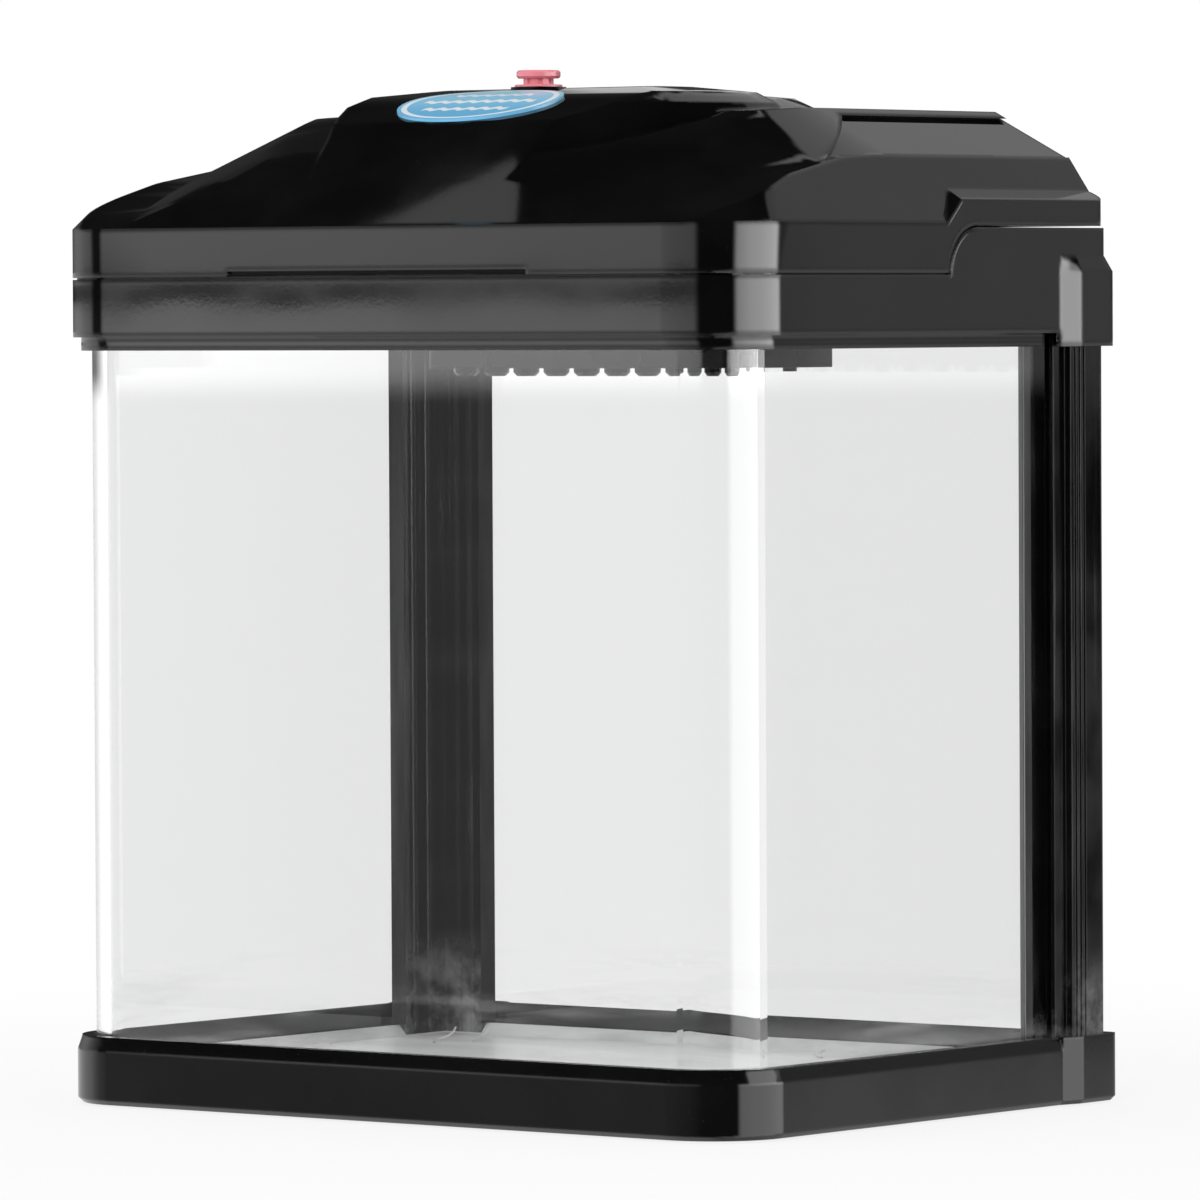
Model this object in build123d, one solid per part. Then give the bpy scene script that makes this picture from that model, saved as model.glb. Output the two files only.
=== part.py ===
from build123d import *
import os
from math import atan, degrees, sqrt

os.makedirs("parts", exist_ok=True)

# A small all-in-one aquarium: a bent glass tank between two rear corner columns,
# standing in a moulded base and closed by a hood whose lid is hinged at the back.
# Millimetres. +X is right as seen from the front, -Y is the front, +Z is up,
# and the table is at z = 0. Plan sizes are taken about the middle of the tank.

# Outline shared by the base, the hood frame and the lid
width = 182.0
depth = 131.8            # without the rear corner blocks
front_r = 17.0           # front corners in plan
rear_r = 2.5             # rear corners in plan
lid_rear_r = 4.0

# Base
foot_stand = 0.4         # how far the rubber feet stand below the base
foot_r = 6.0
foot_sunk = 1.0          # depth of a foot in its recess
foot_edge = 17.0         # foot centre from the outline
base_wall = 11.3         # outer wall height
base_bevel = 1.0         # bevelled bottom edge
rim_rise = 2.9           # bevelled rim above the outer wall
rim_inset = 1.0
base_floor = 4.4         # top of the base plate above its lower edge
base_skin = 2.2          # wall and plate thickness
rib_t = 1.6
rib_x = 40.0             # spacing of the ribs under the base
rib_y = 40.0

# Rear corner blocks on the base and the hood frame
block_proud = 1.34       # how far a block stands out past the side and the back
block_len = 12.0         # length of its outer face along the side
block_bevel = 5.4        # length of its bevelled front facet
block_back = 21.0        # length along the back
block_slope = 3.2        # height of its sloped top
block_rise = 3.9         # top of the hood's block above the side seam

# Glass
glass_t = 3.0
glass_inset = 4.0        # outer face of the front glass from the outline
glass_show = 144.2       # clear height between rim and hood
glass_seat = 7.7         # glass edge hidden inside the hood frame
rear_glass_inset = 1.8   # outer face of the rear glass from the outline
joint_gap = 0.2          # silicone gap between glass panes and mouldings
seal_leg = 2.4           # leg of the silicone fillets
seal_edge = 0.3          # thickness they run out to
seal_gap = 0.02

# Rear corner columns, an extruded section holding both glass edges
column_proud = 0.3       # outer face past the outline at the back
column_side_inset = 1.4  # outer face from the outline at the side
flange_t = 2.0           # inner flanges behind the glass
flange_side = 20.7       # reach of the side flange from the outline's back
flange_rear = 19.0       # reach of the rear flange from the outline's side
grip_side = 12.2         # where the side glass ends, from the outline's back
grip_rear = 13.0         # where the rear glass ends, from the outline's side
lip_t = 0.9              # thin outer lips over the glass edges
lip_len = 4.2
groove_w = 0.7           # fine ridges along the outer side face
groove_deep = 0.5
groove_count = 3
groove_pitch = 1.6
flute_in_r = 0.7         # shallow flutes along the inner flanges
screw_in = 6.2           # column screws from the outline's side
screw_back = 5.6         # and from its back
screw_r = 1.3
screw_head_r = 2.6
screw_head_h = 1.6
screw_len = 12.0

# Hood frame
frame_lip = 2.8          # inset lower lip
frame_lip_inset = 1.7
frame_band = 12.1        # outer band height
frame_skin = 2.2
shelf_t = 2.2
shelf_reach = 9.0        # inner edge of the shelf from the outline
deck_front = -12.0       # front edge of the rear deck
curtain_t = 1.5          # inner skirt that hides the glass edge
curtain_h = 4.0
seam_gap = 0.4           # gap between frame and lid
ear_rise = 9.8           # how much the frame rises at the back
ear_start = 46.8         # where the rise is complete, from the outline's back
cable_slot_w = 40.0
cable_slot_h = 9.0

# Overhead filter tray
tray_w = 81.0
tray_d = 34.0
tray_front = 2.0
tray_drop = 4.2          # how far the tray hangs below the frame
tray_skin = 1.6
tray_flange = 3.0
tray_play = 0.4
nozzle_count = 10
nozzle_pitch = 8.13
nozzle_r = 2.75
nozzle_h = 1.7
nozzle_bore_r = 0.8
nozzle_row = 9.0         # row of nozzles from the tray's front face
overflow_r = 1.5
overflow_bore_r = 0.8
overflow_x = 34.0
overflow_row = 26.4
overflow_h = 7.0
wool_h = 8.0
wool_play = 0.5

# Lid
lid_skin = 2.2
skirt_h = 10.2
ridge_rise = 14.1        # side ridge above the skirt
ridge_lean = 10.0        # how far the side leans in up to the ridge
plateau_rise = 24.0      # rear plateau above the skirt
plateau_half = 62.0      # half width of the plateau
plateau_nose_r = 88.0    # front of the plateau, an arc in plan
plateau_nose = -36.5     # foremost point of that arc
plateau_corner_r = 30.0
plateau_spread = 2.0     # run of the plateau's flanks for each unit of drop
dome_rise = 29.3         # top of the dome above the skirt
dome_half = 54.0         # half width of the dome
dome_reach = 47.0        # its rear end from its middle
dome_mid = 2.6
dome_nose = 18.0         # half width of its front end
dome_front = -58.0       # front end, partly cut off by the visor
dome_waist = -14.0       # where it reaches its full width
dome_rear_r = 40.0
dome_nose_r = 10.0
dome_waist_r = 40.0
rail_h = 1.5             # rail along the plateau's edge
rail_relief = 0.8        # how much lower the flank lies below it
rail_front = 7.3         # where the rail's underside starts
rail_rake = 0.374        # slope of the relief's slanting front end
visor_start = 1.0        # visor face starts this far behind the skirt
visor_slope = 0.97       # rise of the visor face for each unit of depth
bulge_top = 4.9          # side bulge at the back, above the skirt
bulge_shelf = 1.9        # rise of its sloping top
bulge_in = 4.6           # width of its sloping top
bulge_start = 50.8       # front end of the bulge from the outline's back
bulge_ramp = 8.0
recess_w = 79.0          # finger recess along the lid's front edge
recess_h = 1.1
recess_deep = 0.8
terrace_count = 3        # shallow steps over the back of the dome
terrace_first = 4.7
terrace_pitch = 16.0
terrace_step = 1.0

# Hinge
hinge_r = 2.0
hinge_in = 0.75          # axis from the outline's back
hinge_pin_r = 0.8
pin_fit = 0.05
hinge_notch = 1.05       # how far the frame's back edge lies below the axis
hinge_x = 48.0           # middle of each hinge
knuckle_len = 7.0
hinge_play = 0.3

# Push button and switch
button_y = -11.3
cap_r = 4.6
cap_h = 1.7
neck_r = 3.15
neck_h = 1.3
button_travel = 1.0
bezel_r = 5.0
bezel_h = 0.5
bush_r = 4.2
bush_play = 0.3
bush_len = 7.0
switch_r = 6.0
switch_h = 7.0
nut_r = 6.4
nut_h = 2.0
nut_boss = 4.4           # thickness of the dome where the switch is clamped
stem_r = 1.1
neck_sunk = 2.4          # foot of the neck below the flange ring
stem_reach = 3.2         # how far the stem enters the switch
switch_floor = 1.5
spring_wire = 0.4
spring_r = 2.0
spring_turns = 3.5
notch_count = 8

# Badge
badge_w = 40.0
badge_d = 24.0
badge_y = -30.9
badge_t = 0.6
badge_gap = 0.02         # film of glue under the badge

# Lamp under the lid
lamp_w = 96.0
lamp_d = 24.0
lamp_y = -23.3
lamp_drop = 8.0          # underside of the cover above the lid's lower edge
cover_h = 6.0
cover_t = 1.4
board_t = 1.6
led_count = 8
led_rows = 2
led_w = 3.5
led_h = 0.9
lamp_screw_len = 8.0
post_r = 3.0
post_gap = 6.0           # screw posts beyond the cover's ends
tab_r = 4.0

# Cord gland in the lid's back wall
gland_x = 0.0
gland_rise = 7.0         # centre above the skirt's top line
gland_r = 4.0
gland_fit = 0.1
gland_lip_r = 5.5
gland_lip_t = 1.2
gland_bore_r = 2.2
gland_seat = 0.05

# Heights and places that follow from the sizes above
base_z = foot_stand
base_top = base_z + base_wall
rim_top = base_top + rim_rise
floor_z = base_z + base_floor
floor_top = floor_z + glass_t
frame_z = rim_top + glass_show
frame_step = frame_z + frame_lip
frame_top = frame_step + frame_band
glass_top = frame_z + glass_seat
shelf_z = glass_top + joint_gap
shelf_top = shelf_z + shelf_t
ear_top = frame_top + ear_rise
lid_z = frame_top + seam_gap
skirt_top = lid_z + skirt_h
hinge_z = ear_top - 0.05
lamp_z = lid_z + lamp_drop
post_x = lamp_w / 2 + post_gap
back = depth / 2
side = width / 2
ear_y = back - ear_start
tray_z = frame_z - tray_drop
ridge_z = skirt_top + ridge_rise
plateau_z = skirt_top + plateau_rise
dome_z = skirt_top + dome_rise
bezel_z = dome_z - 0.15
hinge_y = back - hinge_in
far = 400.0


def plan(inset, z, corner=rear_r):
    """The common outline, drawn in by an inset."""
    flat = Rectangle(width - 2 * inset, depth - 2 * inset)
    flat = fillet(flat.vertices().group_by(Axis.Y)[0], front_r - inset)
    flat = fillet(flat.vertices().group_by(Axis.Y)[-1], max(corner - inset, 0.4))
    return Pos(0, 0, z) * flat


def prism(inset, z0, z1):
    return extrude(plan(inset, z0), z1 - z0)


def pan(inset, rear, z0, z1):
    """A tank-shaped prism: one inset for the sides and front, another for the straight back."""
    long = depth - inset - rear
    flat = Rectangle(width - 2 * inset, long)
    flat = fillet(flat.vertices().group_by(Axis.Y)[0], front_r - inset)
    return extrude(Pos(0, (inset - rear) / 2, z0) * flat, z1 - z0)


def block(x0, x1, y0, y1, z0, z1):
    """A box between two corners."""
    return Pos((x0 + x1) / 2, (y0 + y1) / 2, (z0 + z1) / 2) * Box(x1 - x0, y1 - y0, z1 - z0)


def disc(x, y, z0, z1, r):
    return Pos(x, y, (z0 + z1) / 2) * Cylinder(r, z1 - z0)


def peg(x, y, z0, z1, r, sides=12):
    """A small round detail with few faces."""
    return extrude(Pos(x, y, z0) * RegularPolygon(r, sides), z1 - z0)


def rod_x(x0, x1, y, z, r):
    """A thin round bar along X."""
    return extrude(Pos(x0, y, z) * Rot(0, 90, 0) * RegularPolygon(r, 20), x1 - x0)


def both(right):
    """A right-hand piece and its mirror image."""
    return right + mirror(right, Plane.YZ)


def side_slab(points, x0, x1):
    """A (y, z) polygon spread along X."""
    face = make_face(Polyline(*[(0, y, z) for y, z in points], close=True))
    return Pos(x0, 0, 0) * extrude(face, x1 - x0, dir=(1, 0, 0))


def under_curve(knots, z, r):
    """Everything below a (y, z) side profile whose bends are rounded to r."""
    points = [(0, y, z + rise) for y, rise in knots]
    points.append((0, far, points[-1][2]))
    top = FilletPolyline(*points, radius=r)
    rest = Polyline(points[-1], (0, far, -far), (0, points[0][1], -far), points[0])
    return Pos(-far, 0, 0) * extrude(make_face(top + rest), 2 * far, dir=(1, 0, 0))


def corner_face(proud, z):
    """Plan of the right rear corner block."""
    flat = make_face(Polyline(
        (side - base_skin, back - block_len - block_bevel),
        (side, back - block_len - block_bevel),
        (side + proud, back - block_len),
        (side + proud, back + proud),
        (side - block_back, back + proud),
        (side - block_back - proud, back),
        (side - block_back - proud, back - base_skin),
        (side - base_skin, back - base_skin),
        close=True,
    ))
    corner = flat.vertices().sort_by(lambda v: v.X + v.Y)[-1]
    return Pos(0, 0, z) * fillet(corner, rear_r)


def corner_block(z0, z1, slope):
    """The thicker right rear corner, with a bevelled front and a sloped top."""
    body = extrude(corner_face(block_proud, z0), z1 - slope - z0)
    if slope:
        body += loft([corner_face(block_proud, z1 - slope), corner_face(0.05, z1)], ruled=True)
    return body


def column_section(grow):
    """The right column's section, with a clearance added all round for its sockets."""
    x_out = side - column_side_inset + grow
    y_out = back + column_proud + grow
    x_in = side - glass_inset - glass_t - flange_t - grow
    y_in = back - rear_glass_inset - glass_t - flange_t - grow
    leg_y = back - flange_side - grow
    leg_x = side - flange_rear - grow
    return make_face(Polyline(
        (x_in, leg_y), (x_out, leg_y), (x_out, y_out), (leg_x, y_out),
        (leg_x, y_in), (x_in, y_in), close=True,
    ))


def column_screw():
    """Where the right column takes its screws."""
    return side - screw_in, back - screw_back


def right_column():
    z0 = floor_z
    z1 = glass_top
    mid = (z0 + z1) / 2
    tall = z1 - z0
    body = extrude(Pos(0, 0, z0) * column_section(0), tall)
    corner = body.edges().filter_by(Axis.Z).sort_by(lambda e: e.center().X + e.center().Y)[-1]
    body = fillet(corner, rear_r - 1.0)
    glass_out = side - glass_inset + joint_gap
    glass_in = side - glass_inset - glass_t - joint_gap
    end_y = back - grip_side + joint_gap
    body -= block(glass_in, glass_out, -far, end_y, z0, z1)
    rear_out = back - rear_glass_inset + joint_gap
    rear_in = back - rear_glass_inset - glass_t - joint_gap
    end_x = side - grip_rear + joint_gap
    body -= block(-far, end_x, rear_in, rear_out, z0, z1)
    body -= block(glass_out, far, -far, end_y - lip_len, z0, z1)
    body -= block(glass_out + lip_t, far, -far, end_y, z0, z1)
    body -= block(-far, end_x - lip_len, rear_out, far, z0, z1)
    body -= block(-far, end_x, rear_out + lip_t, far, z0, z1)
    for i in range(groove_count):
        y = end_y + groove_pitch * (i + 0.8)
        body -= block(side - column_side_inset - groove_deep, far, y, y + groove_w, z0, z1)
    flange_x = side - glass_inset - glass_t - flange_t
    flange_y = back - rear_glass_inset - glass_t - flange_t
    reach_y = flange_side - (back - flange_y)
    reach_x = flange_rear - (side - flange_x)
    for share in (0.25, 0.6):
        body -= Pos(flange_x, back - flange_side + reach_y * share, mid) * Cylinder(flute_in_r, tall)
        body -= Pos(side - flange_rear + reach_x * share, flange_y, mid) * Cylinder(flute_in_r, tall)
    x, y = column_screw()
    body -= peg(x, y, z0, z0 + screw_len, screw_r)
    return body - peg(x, y, z1 - screw_len, z1, screw_r)


def left_column():
    return mirror(right_column(), Plane.YZ)


def foot_places():
    x, y = side - foot_edge, depth / 2 - foot_edge
    return [(x, y), (x, -y), (-x, y), (-x, -y)]


def base_tray():
    body = prism(0, base_z, base_top)
    body += both(corner_block(base_z, base_top, 0))
    body = chamfer(body.edges().group_by(Axis.Z)[0], base_bevel)
    body += loft([plan(0, base_top), plan(rim_inset, rim_top)], ruled=True)
    body += both(corner_block(base_top, rim_top, 0))
    body -= pan(glass_inset - joint_gap, rear_glass_inset - joint_gap, floor_z, far)
    body -= both(extrude(Pos(0, 0, floor_z) * column_section(joint_gap), far))
    under = floor_z - base_skin
    ribs = Part()
    for x in (-rib_x * 1.5, -rib_x * 0.5, rib_x * 0.5, rib_x * 1.5):
        ribs += block(x - rib_t / 2, x + rib_t / 2, -back, back, base_z, under)
    for y in (-rib_y, 0.0, rib_y):
        ribs += block(-side, side, y - rib_t / 2, y + rib_t / 2, base_z, under)
    for x, y in foot_places():
        ribs += peg(x, y, base_z, under, foot_r + rib_t, 20)
    x, y = column_screw()
    ribs += both(peg(x, y, base_z, under, screw_head_r + rib_t))
    body -= prism(base_skin, base_z - 1, under) - ribs
    for fx, fy in foot_places():
        body -= peg(fx, fy, base_z - 1, base_z + foot_sunk, foot_r + joint_gap, 20)
    body -= both(peg(x, y, 0, far, screw_r + joint_gap))
    body -= both(peg(x, y, 0, base_z + screw_head_h + joint_gap, screw_head_r + joint_gap))
    return body


def base_feet():
    feet = Part()
    for x, y in foot_places():
        pad = peg(x, y, 0, base_z + foot_sunk, foot_r, 20)
        feet += chamfer(pad.edges().group_by(Axis.Z)[0], 0.3)
    return feet


def screw(x, y, z, up, r, long):
    """A cross-slotted screw whose head bears on the face at z; up = 1 points it upwards."""
    body = peg(x, y, z - up * screw_head_h, z, screw_head_r)
    body += peg(x, y, z, z + up * long, r, 8)
    for turn in (0, 90):
        body -= Pos(x, y, z - up * screw_head_h) * Rot(0, 0, turn) * Box(3.2, 0.7, 1.4)
    return body


def base_screws():
    x, y = column_screw()
    return both(screw(x, y, base_z + screw_head_h + joint_gap, 1, screw_r - 0.1, screw_len))


def frame_screws():
    x, y = column_screw()
    return both(screw(x, y, shelf_top, -1, screw_r - 0.1, screw_len))


def floor_glass():
    inset = glass_inset + glass_t + joint_gap
    body = pan(inset, rear_glass_inset + glass_t + joint_gap, floor_z, floor_top)
    return body - both(extrude(Pos(0, 0, floor_z) * column_section(joint_gap), far))


def front_glass():
    """One pane bent round both front corners."""
    body = prism(glass_inset, floor_z, glass_top) - prism(glass_inset + glass_t, 0, far)
    return body & block(-far, far, -far, back - grip_side, 0, far)


def rear_glass():
    half = side - grip_rear
    y1 = back - rear_glass_inset
    return block(-half, half, y1 - glass_t, y1, floor_z, glass_top)


def floor_seal():
    """Silicone fillet round the tank floor."""
    wall = glass_inset + glass_t + seal_gap
    rear = rear_glass_inset + glass_t + seal_gap
    body = pan(wall, rear, floor_top, floor_top + seal_leg)
    low = pan(wall + seal_leg, rear + seal_leg, floor_top, floor_top + 0.01)
    high = pan(wall + seal_edge, rear + seal_edge, floor_top + seal_leg, floor_top + seal_leg + 0.01)
    body -= loft([low.faces().sort_by(Axis.Z)[0], high.faces().sort_by(Axis.Z)[-1]], ruled=True)
    return body - both(extrude(Pos(0, 0, floor_z) * column_section(joint_gap), far))


def column_seals():
    """Silicone runs where the columns' flanges meet the glass."""
    z0 = floor_top + seal_leg + joint_gap
    x = side - glass_inset - glass_t - seal_gap
    y = back - flange_side - seal_gap
    flat = make_face(Polyline((x, y - seal_leg), (x, y), (x - flange_t, y), close=True))
    runs = extrude(Pos(0, 0, z0) * flat, frame_z - z0)
    y = back - rear_glass_inset - glass_t - seal_gap
    x = side - flange_rear - seal_gap
    flat = make_face(Polyline((x - seal_leg, y), (x, y), (x, y - flange_t), close=True))
    runs += extrude(Pos(0, 0, z0) * flat, frame_z - z0)
    return both(runs)


def ear_region(gap):
    """Everything behind the frame's quarter-round rise, in side view, grown by a gap."""
    body = block(-far, far, ear_y, far, 0, ear_top + gap)
    nose = Pos(0, ear_y, frame_top) * Rot(0, 90, 0) * Cylinder(ear_rise + gap, 2 * far)
    return body + (nose & block(-far, far, -far, ear_y, 0, far))


def knuckle_span():
    """The lid's own knuckle, between the frame's two."""
    return hinge_x - knuckle_len / 2, hinge_x + knuckle_len / 2


def frame_knuckles(grow):
    lo, hi = knuckle_span()
    reach = hinge_play + knuckle_len + grow
    body = rod_x(hi + hinge_play - grow, hi + reach, hinge_y, hinge_z, hinge_r + grow)
    return body + rod_x(lo - reach, lo - hinge_play + grow, hinge_y, hinge_z, hinge_r + grow)


def hood_frame():
    body = prism(0, frame_step, frame_top)
    body += prism(frame_lip_inset, frame_z, frame_step)
    body += prism(0, frame_top, ear_top) & ear_region(0)
    body += both(corner_block(frame_z, frame_top + block_rise, block_slope))
    body -= prism(frame_skin, shelf_top, far)
    body -= pan(glass_inset - joint_gap, rear_glass_inset - joint_gap, 0, shelf_z)
    lap = glass_inset + glass_t + joint_gap
    lap_rear = rear_glass_inset + glass_t + joint_gap
    curtain = pan(lap, lap_rear, shelf_z - curtain_h, shelf_z)
    body += curtain - pan(lap + curtain_t, lap_rear + curtain_t, 0, far)
    body -= both(extrude(column_section(joint_gap), shelf_z))
    body -= prism(shelf_reach, 0, far) & block(-far, far, -far, deck_front, 0, far)
    half = tray_w / 2 + tray_play
    body -= block(-half, half, tray_front - tray_play, tray_front + tray_d + tray_play, 0, far)
    slot_y = back - shelf_reach - frame_skin
    body -= block(-cable_slot_w / 2, cable_slot_w / 2, slot_y - cable_slot_h, slot_y, 0, far)
    x, y = column_screw()
    body -= both(peg(x, y, 0, far, screw_r + joint_gap))
    notch = side - hinge_notch - 0.4
    body -= block(-notch, notch, hinge_y - 0.4, far, hinge_z - hinge_notch, far)
    lo, hi = knuckle_span()
    body -= both(rod_x(lo - hinge_play, hi + hinge_play, hinge_y, hinge_z, hinge_r + hinge_play))
    body += both(frame_knuckles(0))
    return body - both(rod_x(lo - far / 20, hi + far / 20, hinge_y, hinge_z, hinge_pin_r + pin_fit))


def hinge_pins():
    lo, hi = knuckle_span()
    reach = hinge_play + knuckle_len
    return both(rod_x(lo - reach, hi + reach, hinge_y, hinge_z, hinge_pin_r))


def plateau_plan(z):
    """The plateau's outline, with its nose an arc."""
    half = plateau_half
    centre = plateau_nose + plateau_nose_r
    nose_y = centre - sqrt(plateau_nose_r ** 2 - half ** 2)
    nose = ThreePointArc((half, nose_y), (0, plateau_nose), (-half, nose_y))
    rest = Polyline((-half, nose_y), (-half, 2 * back), (half, 2 * back), (half, nose_y))
    flat = make_face(nose + rest)
    flat = fillet(flat.vertices().group_by(Axis.Y)[0], plateau_corner_r)
    return Pos(0, 0, z) * flat


def dome_ring(out, z):
    """One level of the dome, a rounded trapezoid, grown or shrunk about its middle."""
    share = (dome_half + out) / dome_half
    half = dome_half * share
    nose = dome_nose * share
    rear = dome_reach * share
    front = (dome_front - dome_mid) * share
    waist = (dome_waist - dome_mid) * share
    flat = make_face(Polyline(
        (-half, rear), (half, rear), (half, waist), (nose, front), (-nose, front), (-half, waist),
        close=True,
    ))
    flat = fillet(flat.vertices().group_by(Axis.Y)[-1], dome_rear_r * share)
    flat = fillet(flat.vertices().group_by(Axis.Y)[0], dome_nose_r * share)
    flat = fillet([v for v in flat.vertices() if abs(v.Y - waist) < 0.01], dome_waist_r * share)
    return Pos(0, dome_mid, z) * flat


def dome(skin):
    """The dome, from its flared foot to its crown."""
    flank = ((8.0, 0.0), (3.5, 12.5), (0.5, 18.0), (-1.2, 22.5), (-3.6, 25.2), (-9.0, 27.5),
             (-30.0, dome_rise))
    rings = [dome_ring(out - skin, skirt_top + rise - skin) for out, rise in flank]
    crown = ((-56.0, -12.0), (-26.5, -2.6), (-10.0, -0.3), (53.0, -0.5))
    return loft(rings, ruled=True) & under_curve(crown, dome_z - skin, 60.0)


def terraced_dome(skin):
    """The dome with its shallow steps towards the back."""
    whole = dome(skin)
    body = whole & block(-far, far, -far, terrace_first, 0, far)
    for i in range(terrace_count):
        y0 = terrace_first + i * terrace_pitch
        y1 = y0 + terrace_pitch if i < terrace_count - 1 else far
        lower = Pos(0, 0, -terrace_step * (i + 1)) * whole
        body += lower & block(-far, far, y0, y1, 0, far)
    return body


def tier(skin):
    """The plateau with sloping flanks and the rail along its edge."""
    lift = skin * 1.12
    top = plateau_plan(plateau_z - lift)
    body = extrude(top, plateau_rise, dir=(0, 0, -1), taper=-degrees(atan(plateau_spread)))
    rail_z = plateau_z - rail_h
    rake = side_slab((
        (-far, rail_z - rail_rake * (far + rail_front)), (rail_front, rail_z), (far, rail_z),
        (far, far), (-far, far),
    ), -far, far)
    body = (body & rake) + Pos(0, 0, -rail_relief) * body
    brow = ((-66.0, 3.0), (-55.4, 9.1), (-49.3, 15.0), (-14.0, 23.4), (-2.0, 24.0))
    return body & under_curve(brow, skirt_top - lift, 12.0)


def shoulders(skin):
    """The lower side lobes, which lean inwards and rise towards the back."""
    tall = ridge_rise + 1
    lean = ridge_lean / ridge_rise * tall
    walls = loft([slanted_plan(skin, 0), slanted_plan(skin + lean, tall)], ruled=True)
    ridge = ((-65.9, -0.4), (-60.0, 2.5), (-36.0, 9.9), (-14.0, 13.6), (-4.0, ridge_rise))
    return walls & under_curve(ridge, skirt_top - skin * 1.12, 25.0)


def slanted_plan(inset, rise):
    """A level of the leaning side walls; it runs past the back."""
    flat = Rectangle(width - 2 * inset, 2 * depth - inset)
    flat = fillet(flat.vertices().group_by(Axis.Y)[0], front_r)
    return Pos(0, depth / 2 + inset / 2, skirt_top + rise) * flat


def visor(skin):
    """Everything behind the sloping front face."""
    start = -back + visor_start
    z = skirt_top - skin * sqrt(1 + visor_slope ** 2)
    return side_slab((
        (start, z), (start + far, z + far * visor_slope), (far, -far), (start, -far),
    ), -far, far)


def lid_form(skin, z0):
    """The lid as a solid from z0 up, or its hollow for a given skin."""
    lean = ridge_lean / ridge_rise * dome_rise
    walls = loft([slanted_plan(skin, 0), slanted_plan(skin + lean, dome_rise)], ruled=True)
    body = (tier(skin) + terraced_dome(skin)) & walls
    body += shoulders(skin)
    body &= visor(skin)
    body += prism(skin, z0, skirt_top) & visor(skin) if skin else prism(0, z0, skirt_top)
    body += both(side_bulge(skin))
    bound = extrude(plan(skin, 0, lid_rear_r), far)
    return body & bound


def side_bulge(skin):
    """The raised shelf along the lid's right side, at the back."""
    x = side - skin
    z = skirt_top + bulge_top - skin
    flat = make_face(Polyline(
        (x - 12, 0, skirt_top - 1), (x, 0, skirt_top - 1), (x, 0, z),
        (x - bulge_in, 0, z + bulge_shelf), (x - 12, 0, z + bulge_shelf), close=True,
    ))
    start = back - bulge_start
    body = Pos(0, start - bulge_ramp, 0) * extrude(flat, far, dir=(0, 1, 0))
    ramp = side_slab((
        (start - bulge_ramp, skirt_top - 1), (start, z + bulge_shelf),
        (far, z + bulge_shelf), (far, 0), (start - bulge_ramp, 0),
    ), 0, far)
    return body & ramp


def lid_posts():
    """Screw posts for the lamp, down from the lid's roof."""
    z = lamp_z + cover_t
    posts = both(peg(post_x, lamp_y, z, dome_z, post_r, 16))
    return posts, both(peg(post_x, lamp_y, z, z + lamp_screw_len, screw_r - 0.2))


def lid_shell():
    """Moulded lid: leaning shoulders, plateau and dome over a plain skirt, hollow inside."""
    outer = lid_form(0, lid_z)
    outer += disc(0, button_y, dome_z - 3, bezel_z, bezel_r + 0.8)
    body = outer - lid_form(lid_skin, lid_z - 1)
    posts, holes = lid_posts()
    boss = peg(0, button_y, bezel_z - nut_boss, bezel_z, nut_r + 1, 24)
    body += (posts + boss) & outer
    body -= holes
    body -= ear_region(seam_gap)
    body -= block(-recess_w / 2, recess_w / 2, -back - 1, -back + recess_deep, lid_z - 1, lid_z + recess_h)
    body -= disc(0, button_y, dome_z - 8, far, bush_r + 0.1)
    z = skirt_top + gland_rise
    body -= Pos(gland_x, back, z) * Rot(90, 0, 0) * Cylinder(gland_r + gland_fit, 12)
    body -= both(frame_knuckles(hinge_play))
    lo, hi = knuckle_span()
    body += both(rod_x(lo, hi, hinge_y, hinge_z, hinge_r))
    return body - both(rod_x(lo - 1, hi + 1, hinge_y, hinge_z, hinge_pin_r + pin_fit))


def filter_tray():
    """Drip tray of the overhead filter, hung by its flange in the deck."""
    half = tray_w / 2
    y0, y1 = tray_front, tray_front + tray_d
    body = block(-half, half, y0, y1, tray_z, shelf_top)
    body = fillet(body.edges().filter_by(Axis.Z), 2.0)
    body += block(-half - tray_flange, half + tray_flange, y0 - tray_flange, y1 + tray_flange,
                  shelf_top, shelf_top + tray_skin)
    body -= block(-half + tray_skin, half - tray_skin, y0 + tray_skin, y1 - tray_skin,
                  tray_z + tray_skin, far)
    row = y0 + nozzle_row
    for i in range(nozzle_count):
        x = (i - (nozzle_count - 1) / 2) * nozzle_pitch
        pad = peg(x, row, tray_z - nozzle_h, tray_z, nozzle_r, 10)
        body += chamfer(pad.edges().group_by(Axis.Z)[0], 0.8)
        body -= peg(x, row, tray_z - nozzle_h - 1, tray_z + tray_skin + 1, nozzle_bore_r, 6)
    x, y = overflow_x, y0 + overflow_row
    body += peg(x, y, tray_z - nozzle_h / 2, tray_z + overflow_h, overflow_r)
    return body - peg(x, y, tray_z - nozzle_h, tray_z + far, overflow_bore_r, 8)


def filter_wool():
    """Pad of filter wool lying in the tray."""
    half = tray_w / 2 - tray_skin - wool_play
    y0 = tray_front + tray_skin + wool_play
    y1 = tray_front + tray_d - tray_skin - wool_play
    z = tray_z + tray_skin
    body = block(-half, half, y0, y1, z, z + wool_h)
    return body - peg(overflow_x, tray_front + overflow_row, 0, far, overflow_r + wool_play)


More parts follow.
